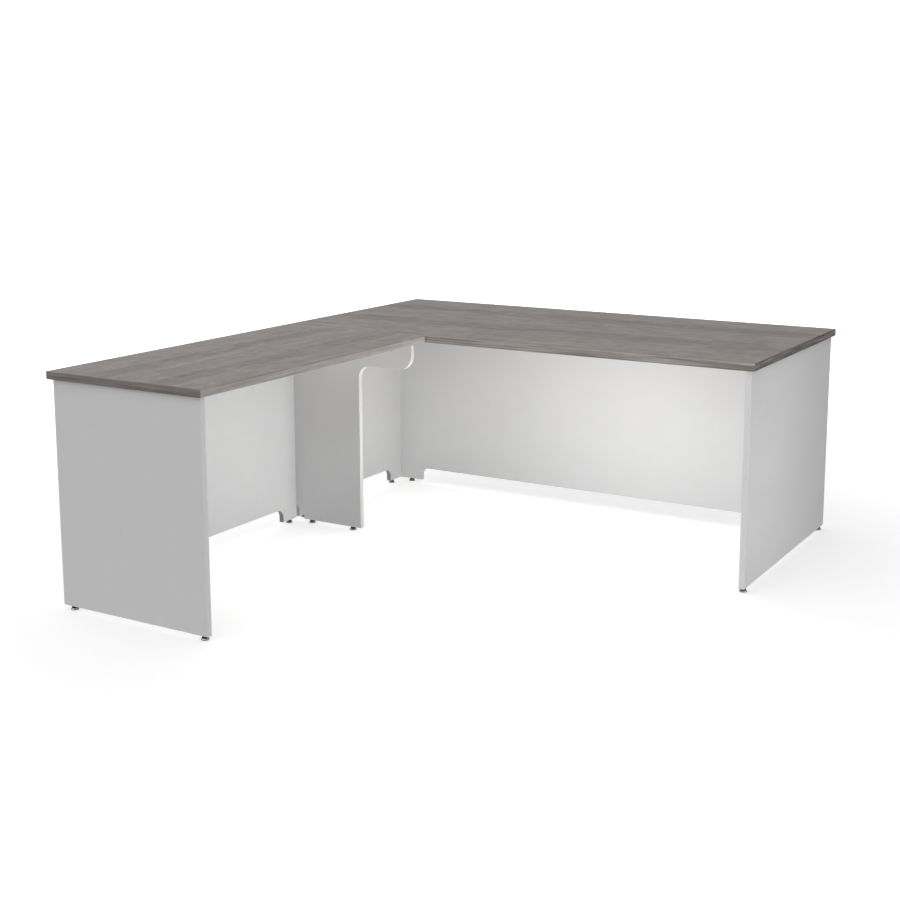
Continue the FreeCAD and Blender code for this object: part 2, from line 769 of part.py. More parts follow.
# main modesty panel
mm_x0, mm_w = SIDE_IN, RG_IN - SIDE_IN
mm_feet = [foot("main_modesty_left", mm_x0 + d.main_glide, MM_FRONT + HALF),
           foot("main_modesty_right", mm_x0 + mm_w - d.main_glide, MM_FRONT + HALF)]
body = across_y("main_modesty_blank", raised_core(mm_w, d.main_foot_length, d.main_foot_length))
put(body, mm_x0, MM_FRONT, FLOOR)
tools = bracket_drills(lambda x, y: abs(y - MM_BACK.v) < 0.1)
tools += j_mm_sp[0] + j_mm_rg[0]
for x, y in mm_feet:
    tools += insert_drills(x, y)
node(cut("main_modesty_panel", body, tools))
band = across_y("main_modesty_strip", raised_band(mm_w, d.main_foot_length, d.main_foot_length))
soften(band, "main_modesty_arris", d.panel_band_round,
       raised_test("y", mm_w, d.main_foot_length, d.main_foot_length))
put(band, mm_x0, MM_FRONT, FLOOR)
tools = []
for x, y in mm_feet:
    tools += insert_drills(x, y, only_band=True)
node(cut("main_modesty_band", band, tools))

# corner support panel: knee notch under an arm, cut-out at the rear foot
cs_x0 = LEFT + d.gable_back_inset
SW, SH = d.scribe_width, d.scribe_height
SD, AR, AH, RN, RA = d.support_depth, d.arm_reach, d.arm_height, d.notch_radius, d.arm_radius
cs_feet = [foot("corner_support_front", cs_x0 + SD - d.support_glide_front, SUP_OUT + HALF),
           foot("corner_support_back", cs_x0 + d.support_glide_back, SUP_OUT + HALF)]
body = across_y("corner_support_blank", [
    (SW, B), (SD - B, B), (SD - B, H - AH + B, RN + B), (AR - B, H - AH + B, RA - B),
    (AR - B, H), (B, H), (B, SH + SW - B), (SW, SH)])
put(body, cs_x0, SUP_OUT, FLOOR)
tools = bracket_drills(lambda x, y: abs(y - SUP_IN.v) < 0.1 or abs(y - SUP_OUT.v) < 0.1)
tools += j_rm_sup[1] + j_sp_sup[1]
for x, y in cs_feet:
    tools += insert_drills(x, y)
node(cut("corner_support_panel", body, tools))

front = across_y("corner_support_front_strip", [
    (SW, 0), (SD, 0), (SD, H - AH, RN), (AR, H - AH, RA), (AR, H), (AR - B, H),
    (AR - B, H - AH + B, RA - B), (SD - B, H - AH + B, RN + B), (SD - B, B), (SW, B)])


def support_edge(u, z):
    if z < 1e-6 or u > AR.v - 1e-6:
        return True
    if abs(u - SD.v) < 1e-6 and z < (H - AH).v:
        return True
    if abs(z - (H - AH).v) < 1e-6 and u > SD.v:
        return True
    if abs(math.hypot(u - (SD + RN).v, z - (H - AH - RN).v) - RN.v) < 1e-4 and SD.v < u < (SD + RN).v:
        return True
    return abs(math.hypot(u - (AR - RA).v, z - (H - AH + RA).v) - RA.v) < 1e-4 and u > (AR - RA).v


soften(front, "corner_support_front_arris", d.panel_band_round, on_faces("y", support_edge))
put(front, cs_x0, SUP_OUT, FLOOR)
tools = []
for x, y in cs_feet:
    tools += insert_drills(x, y, only_band=True)
front_cut = cut("corner_support_front_band", front, tools)
rear = across_y("corner_support_rear_strip", [(0, SH + SW), (B, SH + SW - B), (B, H), (0, H)])
soften(rear, "corner_support_rear_arris", d.panel_band_round, on_faces("y", lambda u, z: u < 1e-6))
put(rear, cs_x0, SUP_OUT, FLOOR)
group("corner_support_bands", [front_cut, rear])

# ------------------------------------------------------------- hidden fittings
# cam lock: a short drum with a crossed key slot and an opening for its bolt
cam = new_body("cam_lock_form")
sk = new_sketch(cam, "cam_drum", "XY_Plane")
rings(sk, [(0, 0, d.cam_diameter)])
pad(cam, "cam_drum_pad", sk, d.cam_length, reverse=True)
sk = new_sketch(cam, "cam_mouth", "XY_Plane", -d.cam_length)
outline(sk, [(-9, -3.9), (2.0, -3.9), (2.0, 3.9), (-9, 3.9)])
pocket(cam, "cam_mouth_cut", sk, d.cam_length - 5.6, reverse=True)
sk = new_sketch(cam, "cam_cross", "XY_Plane")
outline(sk, [(-4.5, -0.75), (-0.75, -0.75), (-0.75, -4.5), (0.75, -4.5), (0.75, -0.75), (4.5, -0.75),
             (4.5, 0.75), (0.75, 0.75), (0.75, 4.5), (-0.75, 4.5), (-0.75, 0.75), (-4.5, 0.75)])
pocket(cam, "cam_cross_cut", sk, 2.2)
soften(cam, "cam_rim", 0.4, lambda e: abs(e.BoundBox.ZMin) < 1e-6 and abs(e.BoundBox.ZMax) < 1e-6
       and e.BoundBox.DiagonalLength > 15.5, chamfer=True)

ROT_OUT = {"+z": FreeCAD.Rotation()}


def frame_rotation(x_axis, z_axis):
    """Turns local X and Z to the two given row directions."""
    unit = {"+x": V(1, 0, 0), "-x": V(-1, 0, 0), "+y": V(0, 1, 0), "-y": V(0, -1, 0),
            "+z": V(0, 0, 1), "-z": V(0, 0, -1)}
    xa, za = unit[x_axis], unit[z_axis]
    ya = za.cross(xa)
    m = FreeCAD.Matrix(xa.x, ya.x, za.x, 0, xa.y, ya.y, za.y, 0, xa.z, ya.z, za.z, 0, 0, 0, 0, 1)
    return FreeCAD.Placement(m).Rotation


OPP = {"+x": "-x", "-x": "+x", "+y": "-y", "-y": "+y"}
copies("cam_locks", cam, [(x, y, z, frame_rotation(OPP[end], out)) for x, y, z, out, end in CAMS])

# cam bolt: thread in the face, shank in the end of the butting panel, ball end in the cam
bolt = new_body("cam_bolt_form")
sk = new_sketch(bolt, "cam_bolt_profile", "XZ_Plane")
rt, rs = d.bolt_thread / 2, d.bolt_diameter / 2
end = d.cam_setback
outline(sk, [(0, -d.bolt_depth), (rt - 0.6, -d.bolt_depth), (rt, 1.2 - d.bolt_depth), (rt, 0), (rs, 0),
             (rs, end - 8.2), (2.1, end - 8.2), (2.1, end - 3.0), (3.2, end - 3.0), (3.2, end + 0.6),
             (0, end + 0.6)])
revolve(bolt, "cam_bolt_turned", sk)
copies("cam_bolts", bolt, [(x, y, z, TURN[into]) for x, y, z, into in BOLTS])

# dowel with bevelled ends
dowel = new_body("dowel_form")
sk = new_sketch(dowel, "dowel_profile", "XZ_Plane")
rd = d.dowel_diameter / 2
lo, hi = -d.dowel_depth, d.dowel_length - d.dowel_depth
outline(sk, [(0, lo), (rd - 0.8, lo), (rd, lo + 0.8), (rd, hi - 0.8), (rd - 0.8, hi), (0, hi)])
revolve(dowel, "dowel_turned", sk)
copies("dowels", dowel, [(x, y, z, TURN[into]) for x, y, z, into in DOWELS])

# angle bracket: local X along the level leg, local Z up, corner under the top
bracket = new_body("angle_bracket_form")
sk = new_sketch(bracket, "bracket_profile", "XZ_Plane")
L, S, RB = d.bracket_leg, d.bracket_sheet, d.bracket_bend
outline(sk, [(0, -L), (S, -L), (S, -S, RB - S), (L, -S), (L, 0), (0, 0, RB)])
pad(bracket, "bracket_pad", sk, d.bracket_width, reverse=True)
sk = new_sketch(bracket, "bracket_top_holes", "XY_Plane")
rings(sk, [(G, d.bracket_width / 2 - Q, d.bracket_hole), (G, d.bracket_width / 2 + Q, d.bracket_hole)])
hole_area = math.pi * d.bracket_hole.v ** 2 / 4
pocket(bracket, "bracket_top_drilled", sk, S, expect=2 * hole_area * S.v)
sk = new_sketch(bracket, "bracket_wall_holes", "YZ_Plane")
rings(sk, [(d.bracket_width / 2 - Q, -G, d.bracket_hole), (d.bracket_width / 2 + Q, -G, d.bracket_hole)])
pocket(bracket, "bracket_wall_drilled", sk, S, reverse=True, expect=2 * hole_area * S.v)
soften(bracket, "bracket_corners", 3.0, lambda e: (
    (e.BoundBox.XLength < 1e-6 and abs(e.BoundBox.XMax - L.v) < 1e-6 and abs(e.BoundBox.ZLength - S.v) < 1e-6)
    or (e.BoundBox.ZLength < 1e-6 and abs(e.BoundBox.ZMin + L.v) < 1e-6 and abs(e.BoundBox.XLength - S.v) < 1e-6)))
places = []
W2 = d.bracket_width / 2
for top, bx, by, way in BRACKETS:
    rot = frame_rotation(way, "+z")
    if way == "+x":
        places.append((bx, by - W2, UNDER, rot))
    elif way == "-x":
        places.append((bx, by + W2, UNDER, rot))
    elif way == "+y":
        places.append((bx + W2, by, UNDER, rot))
    else:
        places.append((bx - W2, by, UNDER, rot))
copies("top_brackets", bracket, places)

# wood screw: domed head with a crossed recess; local Z points out of the head
screw = new_body("wood_screw_form")
sk = new_sketch(screw, "screw_profile", "XZ_Plane")
rk, rh, hh, sl = d.screw_shank / 2, d.screw_head / 2, d.screw_head_height, d.screw_length
outline(sk, [(0, -sl), (0.3, -sl), (rk, 4.0 - sl), (rk, 0), (rh, 0), (rh, hh * 0.45), (rh - 1.1, hh), (0, hh)])
revolve(screw, "screw_turned", sk)
sk = new_sketch(screw, "screw_cross", "XY_Plane", hh)
outline(sk, [(-2.1, -0.45), (-0.45, -0.45), (-0.45, -2.1), (0.45, -2.1), (0.45, -0.45), (2.1, -0.45),
             (2.1, 0.45), (0.45, 0.45), (0.45, 2.1), (-0.45, 2.1), (-0.45, 0.45), (-2.1, 0.45)])
pocket(screw, "screw_cross_cut", sk, 1.3)
places = []
for top in ("main", "return"):
    for x, y in TOP_PILOTS[top]:
        places.append((x, y, UNDER - S, FreeCAD.Rotation(V(1, 0, 0), 180)))
for x, y, z, way in WALL_PILOTS:
    out = OPP[way]
    s = S if out[0] == "+" else -S
    if out[1] == "x":
        places.append((x + s, y, z, TURN[out]))
    else:
        places.append((x, y + s, z, TURN[out]))
copies("bracket_screws", screw, places)

# ------------------------------------------------------------ levelling glides
insert = new_body("glide_insert_form")
sk = new_sketch(insert, "insert_profile", "XZ_Plane")
ri, ro, li = d.insert_bore / 2, d.insert_diameter / 2, d.insert_length
outline(sk, [(ri, 0), (ro, 0), (ro, li - 1.0), (ro - 0.6, li), (ri, li)])
revolve(insert, "insert_turned", sk)
copies("glide_inserts", insert, [(x, y, FLOOR, FreeCAD.Rotation()) for name, x, y in GLIDES])

RBASE = d.base_diameter / 2
HB = d.base_height
for name, x, y in GLIDES:
    # base disc: rounded rim, coned shoulder, and a socket that holds the stem's swivel head
    base = new_body("glide_base_" + name)
    sk = new_sketch(base, "base_profile_" + name, "XZ_Plane")
    outline(sk, [(0, 0), (RBASE - 1.4, 0), (RBASE, 1.4), (RBASE, 2.8), (RBASE - 1.0, HB - 1.9),
                 (RBASE - 3.0, HB), (3.6, HB), (3.6, 3.4), (4.7, 3.4), (4.7, 1.2), (0, 1.2)])
    revolve(base, "base_turned_" + name, sk)
    put(base, x, y, 0)
    node(base)

    # stem: swivel head, neck, hexagonal collar and threaded stud
    stem = new_body("glide_stem_" + name)
    sk = new_sketch(stem, "stem_profile_" + name, "XZ_Plane")
    crest, root, pitch = d.stem_diameter / 2, d.stem_root / 2, d.stem_pitch
    prof = [(0, 1.5), (4.4, 1.5), (4.4, 3.1), (3.52, 3.1), (3.52, HB + 0.2), (crest, HB + 0.2)]
    z0 = d.glide_height + 0.4
    turns = 20
    for k in range(turns):
        zk = z0 + pitch * k
        prof += [(crest, zk), (root, zk + pitch * 0.42), (root, zk + pitch * 0.52),
                 (crest, zk + pitch * 0.94)]
    prof += [(crest, d.stem_top - 1.0), (crest - 1.0, d.stem_top), (0, d.stem_top)]
    outline(sk, prof)
    revolve(stem, "stem_turned_" + name, sk)
    sk = new_sketch(stem, "collar_outline_" + name, "XY_Plane", HB + 0.2)
    half = d.collar_across / 2
    corner = half / math.cos(math.radians(30))
    hexagon = []
    for k in range(6):
        a = math.radians(60 * k)
        hexagon.append((corner * round(math.cos(a), 12), corner * round(math.sin(a), 12)))
    outline(sk, hexagon)
    pad(stem, "collar_pad_" + name, sk, d.glide_height - 0.5 - HB - 0.2)
    top = (d.glide_height - 0.5).v

    def collar_rim(e, top=top):
        b = e.BoundBox
        return abs(b.ZMin - top) < 1e-6 and abs(b.ZMax - top) < 1e-6 and b.DiagonalLength > 9.0 \
            and e.Curve.TypeId == "Part::GeomLine"

    soften(stem, "collar_bevel_" + name, 1.0, collar_rim, chamfer=True)
    put(stem, x, y, 0)
    node(stem)

doc.recompute()

# ------------------------------------------------------- test and write pieces
bad = []
for obj in doc.Objects:
    if "Invalid" in obj.State or "Error" in obj.State:
        bad.append("%s: %s" % (obj.Name, obj.State))
for obj in NODES:
    if obj.Shape.isNull() or not obj.Shape.isValid() or not obj.Shape.Solids:
        bad.append(obj.Label + ": no valid solid")
if bad:
    raise RuntimeError("; ".join(bad))
labels = [obj.Label for obj in NODES]
if len(set(labels)) != len(labels):
    raise RuntimeError("two pieces share a label")

os.makedirs("parts", exist_ok=True)
box = FreeCAD.BoundBox()
for obj in NODES:
    obj.Shape.exportStep("parts/%s.step" % obj.Label)
    box.add(obj.Shape.BoundBox)
    print("%-34s %2d solids %10.1f cm3" % (obj.Label, len(obj.Shape.Solids), obj.Shape.Volume / 1000))
print("%d pieces, box %.2f x %.2f x %.2f, from z %.3f" % (
    len(NODES), box.XLength, box.YLength, box.ZLength, box.ZMin))
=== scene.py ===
import json
import math

import bpy
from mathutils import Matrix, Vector


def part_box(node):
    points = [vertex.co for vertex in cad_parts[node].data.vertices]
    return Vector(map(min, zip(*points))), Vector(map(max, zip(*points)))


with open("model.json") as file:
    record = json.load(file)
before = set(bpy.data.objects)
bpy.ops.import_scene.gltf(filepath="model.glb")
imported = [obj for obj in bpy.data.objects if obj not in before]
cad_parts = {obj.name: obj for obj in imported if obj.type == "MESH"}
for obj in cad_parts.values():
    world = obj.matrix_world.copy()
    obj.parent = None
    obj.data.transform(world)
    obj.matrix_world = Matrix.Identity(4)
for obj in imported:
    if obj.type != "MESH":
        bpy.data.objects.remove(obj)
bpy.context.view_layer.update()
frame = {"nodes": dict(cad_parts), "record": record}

SCENE = bpy.context.scene
NODES = frame["nodes"]


# ------------------------------------------------------------------ node helper

class Graph:
    """Short names for the shader nodes of one material or world."""

    def __init__(self, tree):
        self.tree = tree
        self.tree.nodes.clear()

    def new(self, kind, **settings):
        node = self.tree.nodes.new(kind)
        for key, value in settings.items():
            setattr(node, key, value)
        return node

    def feed(self, socket, value):
        if isinstance(value, bpy.types.NodeSocket):
            self.tree.links.new(value, socket)
        elif value is not None:
            socket.default_value = value

    def math(self, operation, a, b=None, c=None, clamp=False):
        node = self.new("ShaderNodeMath", operation=operation, use_clamp=clamp)
        for socket, value in zip(node.inputs, (a, b, c)):
            self.feed(socket, value)
        return node.outputs[0]

    def add(self, a, b):
        return self.math("ADD", a, b)

    def mul(self, a, b):
        return self.math("MULTIPLY", a, b)

    def object_axes(self):
        node = self.new("ShaderNodeTexCoord")
        split = self.new("ShaderNodeSeparateXYZ")
        self.feed(split.inputs[0], node.outputs["Object"])
        return split.outputs[0], split.outputs[1], split.outputs[2]

    def object_normal(self):
        node = self.new("ShaderNodeTexCoord")
        split = self.new("ShaderNodeSeparateXYZ")
        self.feed(split.inputs[0], node.outputs["Normal"])
        return split.outputs[0], split.outputs[1], split.outputs[2]

    def vector(self, x, y, z=0.0):
        node = self.new("ShaderNodeCombineXYZ")
        for socket, value in zip(node.inputs, (x, y, z)):
            self.feed(socket, value)
        return node.outputs[0]

    def noise(self, vector, scale=1.0, detail=2.0, roughness=0.5, distortion=0.0):
        node = self.new("ShaderNodeTexNoise", noise_dimensions="3D")
        self.feed(node.inputs["Vector"], vector)
        self.feed(node.inputs["Scale"], scale)
        self.feed(node.inputs["Detail"], detail)
        self.feed(node.inputs["Roughness"], roughness)
        self.feed(node.inputs["Distortion"], distortion)
        return node.outputs["Fac"]

    def cells(self, vector, scale, feature="F1"):
        node = self.new("ShaderNodeTexVoronoi", voronoi_dimensions="3D", feature=feature)
        self.feed(node.inputs["Vector"], vector)
        self.feed(node.inputs["Scale"], scale)
        return node

    def remap(self, value, low, high, to_low=0.0, to_high=1.0, smooth=False):
        node = self.new("ShaderNodeMapRange", clamp=True)
        if smooth:
            node.interpolation_type = "SMOOTHSTEP"
        for socket, item in zip(node.inputs, (value, low, high, to_low, to_high)):
            self.feed(socket, item)
        return node.outputs[0]

    def ramp(self, factor, stops):
        node = self.new("ShaderNodeValToRGB")
        ramp = node.color_ramp
        while len(ramp.elements) < len(stops):
            ramp.elements.new(1.0)
        for element, (place, colour) in zip(ramp.elements, stops):
            element.position = place
            element.color = (*colour, 1.0)
        self.feed(node.inputs[0], factor)
        return node.outputs[0]

    def mix(self, factor, a, b):
        node = self.new("ShaderNodeMix", data_type="FLOAT")
        self.feed(node.inputs[0], factor)
        self.feed(node.inputs[2], a)
        self.feed(node.inputs[3], b)
        return node.outputs[0]

    def mix_colour(self, factor, a, b, blend="MIX"):
        node = self.new("ShaderNodeMix", data_type="RGBA", blend_type=blend)
        self.feed(node.inputs[0], factor)
        self.feed(node.inputs[6], a)
        self.feed(node.inputs[7], b)
        return node.outputs[2]

    def bump(self, height, distance, strength=1.0, normal=None):
        node = self.new("ShaderNodeBump")
        node.inputs["Strength"].default_value = strength
        node.inputs["Distance"].default_value = distance
        self.feed(node.inputs["Height"], height)
        if normal is not None:
            self.feed(node.inputs["Normal"], normal)
        return node.outputs[0]

    def edges(self, radius, reach=0.25):
        """0 on the faces and up to 1 on the arrises, from the angle that a rounded normal makes with the true one."""
        soft = self.new("ShaderNodeBevel", samples=6)
        soft.inputs["Radius"].default_value = radius
        true = self.new("ShaderNodeNewGeometry")
        dot = self.new("ShaderNodeVectorMath", operation="DOT_PRODUCT")
        self.feed(dot.inputs[0], soft.outputs[0])
        self.feed(dot.inputs[1], true.outputs["Normal"])
        return self.remap(dot.outputs["Value"], 1.0, 1.0 - reach, 0.0, 1.0)

    def surface(self, **values):
        shader = self.new("ShaderNodeBsdfPrincipled")
        for key, value in values.items():
            self.feed(shader.inputs[key], value)
        out = self.new("ShaderNodeOutputMaterial")
        self.tree.links.new(shader.outputs[0], out.inputs["Surface"])
        return shader


def material(name):
    made = bpy.data.materials.new(name)
    made.use_nodes = True
    return made, Graph(made.node_tree)


def grey(level, warm=0.0):
    """A near neutral linear colour."""
    return (level * (1 + warm), level, level * (1 - warm))


# ------------------------------------------------------------------ wood-grain laminate

# the print's colours, dark late wood to pale early wood
WOOD = [
    (0.00, (0.090, 0.0795, 0.0735)),
    (0.20, (0.166, 0.1488, 0.1395)),
    (0.40, (0.258, 0.2335, 0.2195)),
    (0.60, (0.352, 0.3220, 0.3045)),
    (0.80, (0.466, 0.4340, 0.4150)),
    (1.00, (0.590, 0.5720, 0.5560)),
]


def wood_print(g, along, across, seed, repeat, first, shift=0.0, figure=1.0):
    """Colour, roughness and relief of the printed sheet. along and across are metres on the sheet,
    repeat is the width of one plank's face in the print, first is where one face begins, shift
    makes the whole print paler and figure makes its streaks stronger."""
    # the grain wanders sideways over half a metre and ripples over a hand's width
    drift = g.noise(g.vector(g.mul(along, 1.1), g.mul(across, 2.6), seed), 1.0, 2.0, 0.5)
    ripple = g.noise(g.vector(g.mul(along, 6.5), g.mul(across, 15.0), seed + 3.1), 1.0, 2.0, 0.5)
    bent = g.add(across, g.add(g.mul(g.math("SUBTRACT", drift, 0.5), 0.026),
                               g.mul(g.math("SUBTRACT", ripple, 0.5), 0.011)))

    # each plank's face has one broad dark heart band, soft on one side and crisper on the other,
    # and a pale sap line beside its soft side
    face = g.math("FRACT", g.mul(g.math("SUBTRACT", bent, first), 1.0 / repeat))
    heart = g.mul(g.remap(face, 0.01, 0.10, 0.0, 1.0, smooth=True), g.remap(face, 0.30, 0.48, 1.0, 0.0, smooth=True))
    fade = g.noise(g.vector(g.mul(along, 2.4), g.mul(bent, 4.0), seed + 7.7), 1.0, 2.0, 0.5)
    heart = g.mul(heart, g.remap(fade, 0.25, 0.75, 0.70, 1.20))
    sap = g.mul(g.mul(g.remap(face, 0.46, 0.50, 0.0, 1.0, smooth=True), g.remap(face, 0.52, 0.57, 1.0, 0.0, smooth=True)),
                g.remap(g.noise(g.vector(g.mul(along, 5.0), g.mul(bent, 9.0), seed + 9.2), 1.0, 2.0, 0.5), 0.42, 0.66, 0.0, 1.0))
    # cloudy figure: soft blotches longer than wide
    cloud = g.noise(g.vector(g.mul(along, 7.5), g.mul(bent, 21.0), seed + 11.3), 1.0, 3.0, 0.55)
    fleck = g.noise(g.vector(g.mul(along, 22.0), g.mul(bent, 60.0), seed + 12.4), 1.0, 3.0, 0.55)
    # curl: faint bars across the grain
    curl = g.noise(g.vector(g.mul(along, 22.0), g.mul(bent, 4.5), seed + 13.0), 1.0, 2.0, 0.5)
    # growth rings, cut lengthways: streaks a finger wide and a hand long
    ring = g.noise(g.vector(g.mul(along, 4.6), g.mul(bent, 66.0), seed + 15.9), 1.0, 4.0, 0.60)
    # fibres
    fibre = g.noise(g.vector(g.mul(along, 9.0), g.mul(bent, 430.0), seed + 21.4), 1.0, 3.0, 0.6)
    # open pores: short dark ticks along the grain, denser in the dark rings
    tick = g.noise(g.vector(g.mul(along, 42.0), g.mul(bent, 1250.0), seed + 27.2), 1.0, 1.0, 0.5)
    pore = g.mul(g.remap(tick, 0.60, 0.70, 0.0, 1.0), g.remap(ring, 0.62, 0.38, 0.15, 1.0))

    tone = g.add(g.add(shift, 0.545), g.mul(heart, -0.108))
    tone = g.add(tone, g.mul(sap, 0.06))
    for layer, weight in ((cloud, 0.33 * figure), (fleck, 0.38), (curl, 0.20), (ring, 0.40 * figure), (fibre, 0.38)):
        tone = g.add(tone, g.mul(g.math("SUBTRACT", layer, 0.5), weight))
    tone = g.math("SUBTRACT", tone, g.mul(pore, 0.14))

    colour = g.ramp(g.mul(tone, 0.8), WOOD)
    rough = g.add(g.remap(tone, 0.2, 0.8, 0.50, 0.42), g.mul(pore, 0.12))
    # pressed-in texture of the sheet: shallow grooves that follow the print
    relief = g.math("SUBTRACT", g.add(g.mul(fibre, 0.6), g.mul(ring, 0.4)), g.mul(pore, 0.9))
    return colour, rough, relief


def laminate(name, grain, seed, repeat, first, shift):
    made, g = material(name)
    x, y, z = g.object_axes()
    along, across = (x, y) if grain == "x" else (y, x)
    colour, rough, relief = wood_print(g, along, across, seed, repeat, first, shift)
    # faint haze of handling: gloss patches a hand's width across
    haze = g.noise(g.vector(x, y, z), 5.5, 3.0, 0.55)
    rough = g.add(rough, g.remap(haze, 0.35, 0.7, -0.03, 0.04))
    g.surface(**{"Base Color": colour, "Roughness": rough, "IOR": 1.48,
                 "Specular IOR Level": 0.15,
                 "Normal": g.bump(relief, 0.00018, 0.55)})
    return made


def top_edging(name, box, seed, figure, right_end, front_side, joint=0.0):
    """Edge tape of a work top: the grain follows each strip, and the strips at the two x ends run along y.
    right_end and front_side hold how much paler than the sheet the tape of that strip is, partly the tape's own tone
    and partly painted light and shade for how the light falls on that side, and how strong the painted highlight along
    the arrises of it and of the strip across from it is. The last argument sets how dark the line just under the top
    arris of the right end's strip is."""
    made, g = material(name)
    x, y, z = g.object_axes()
    (x0, y0, z0), (x1, y1, z1) = box
    from_middle = g.math("ABSOLUTE", g.math("SUBTRACT", x, (x0 + x1) / 2))
    at_end = g.math("GREATER_THAN", from_middle, (x1 - x0) / 2 - 0.0021)
    # the long strips are put on last and lap over the ends' strips at the corners
    lap = g.math("LESS_THAN", g.math("ABSOLUTE", g.math("SUBTRACT", y, (y0 + y1) / 2)), (y1 - y0) / 2 - 0.0035)
    at_end = g.mul(at_end, lap)
    along = g.mul(g.mix(at_end, x, y), 0.6)
    # tone of each strip: partly the tape's own tone, partly painted light and shade for how the light falls on that
    # side
    paler_end = g.mul(g.math("GREATER_THAN", x, (x0 + x1) / 2), right_end[0])
    paler_side = g.mul(g.math("LESS_THAN", y, (y0 + y1) / 2), front_side[0])
    # the tape's own print: longer and finer streaks than the sheet on top
    across = g.add(g.mul(z, 3.6), g.mul(at_end, 0.39))
    colour, rough, relief = wood_print(g, along, across, seed, 0.42, 0.0, g.mix(at_end, paler_side, paler_end), figure)
    # the arrises are scraped and buffed after the tape is trimmed, which lowers their roughness; the paler line along
    # them is a painted highlight
    rise = g.math("ABSOLUTE", g.math("SUBTRACT", z, (z0 + z1) / 2))
    arris = g.remap(rise, (z1 - z0) / 2 - 0.0026, (z1 - z0) / 2 - 0.0008, 0.0, 1.0, smooth=True)
    patchy = g.remap(g.noise(g.vector(x, y, z), 22.0, 3.0, 0.6), 0.35, 0.70, 0.55, 1.0)
    wear_and_sheen = g.mul(g.mul(arris, patchy), g.mix(at_end, front_side[1], right_end[1]))
    colour = g.mix_colour(wear_and_sheen, colour, (0.42, 0.396, 0.380, 1.0))
    rough = g.add(rough, g.mul(wear_and_sheen, -0.08))
    # a darker line just under the top arris of the right end's strip, broken by noise
    if joint:
        line = g.mul(g.remap(z, z1 - 0.0056, z1 - 0.0026, 0.0, 1.0, smooth=True), g.mul(at_end, g.math("GREATER_THAN", x, (x0 + x1) / 2)))
        broken = g.remap(g.noise(g.vector(g.mul(y, 9.0), g.mul(z, 60.0), seed + 4.0), 1.0, 2.0, 0.5), 0.35, 0.65, 0.55, 1.0)
        colour = g.mix_colour(g.mul(g.mul(line, broken), joint), colour, (0.130, 0.118, 0.110, 1.0))
    g.surface(**{"Base Color": colour, "Roughness": rough, "IOR": 1.48,
                 "Specular IOR Level": 0.28,
                 "Normal": g.bump(relief, 0.00014, 0.5)})
    return made


# ------------------------------------------------------------------ white panels

def melamine(name, level):
    """White melamine board face: fine pebbled press texture, faint mottling of the paper under it."""
    made, g = material(name)
    x, y, z = g.object_axes()
    p = g.vector(x, y, z)
    pebble = g.cells(p, 950.0).outputs["Distance"]
    leather = g.noise(p, 420.0, 3.0, 0.55)
    mottle = g.noise(p, 26.0, 4.0, 0.55)
    wipe = g.noise(g.vector(g.mul(x, 2.2), g.mul(y, 2.2), g.mul(z, 5.5)), 1.0, 3.0, 0.6, 0.6)
    tone = g.add(g.mul(g.math("SUBTRACT", mottle, 0.5), 0.35), g.add(g.mul(wipe, 0.3), g.mul(leather, 0.35)))
    colour = g.ramp(tone, [(0.20, grey(level * 0.975, 0.002)), (0.42, grey(level)), (0.62, grey(level * 1.018, -0.001))])
    # painted shade: the end of the main side panel that shows through the corner support's cut-out is painted darker
    # grey, for the shade inside the cut-out
    nx, ny, nz = g.object_normal()
    painted_end_shade = g.mul(g.mul(g.math("LESS_THAN", ny, -0.5), g.math("LESS_THAN", x, -0.86)),
                   g.mul(g.math("GREATER_THAN", y, 0.14), g.math("LESS_THAN", y, 0.145)))
    colour = g.mix_colour(painted_end_shade, colour, g.ramp(tone, [(0.20, grey(level * 0.55)), (0.62, grey(level * 0.61))]))
    rough = g.add(g.remap(wipe, 0.3, 0.7, 0.40, 0.50), g.mul(g.math("SUBTRACT", leather, 0.5), 0.10))
    rough = g.add(rough, g.mul(painted_end_shade, 0.2))
    relief = g.add(g.mul(pebble, 0.6), g.mul(leather, 0.8))
    g.surface(**{"Base Color": colour, "Roughness": rough, "IOR": 1.50,
                 "Specular IOR Level": 0.40,
                 "Normal": g.bump(relief, 0.00010, 0.35)})
    return made


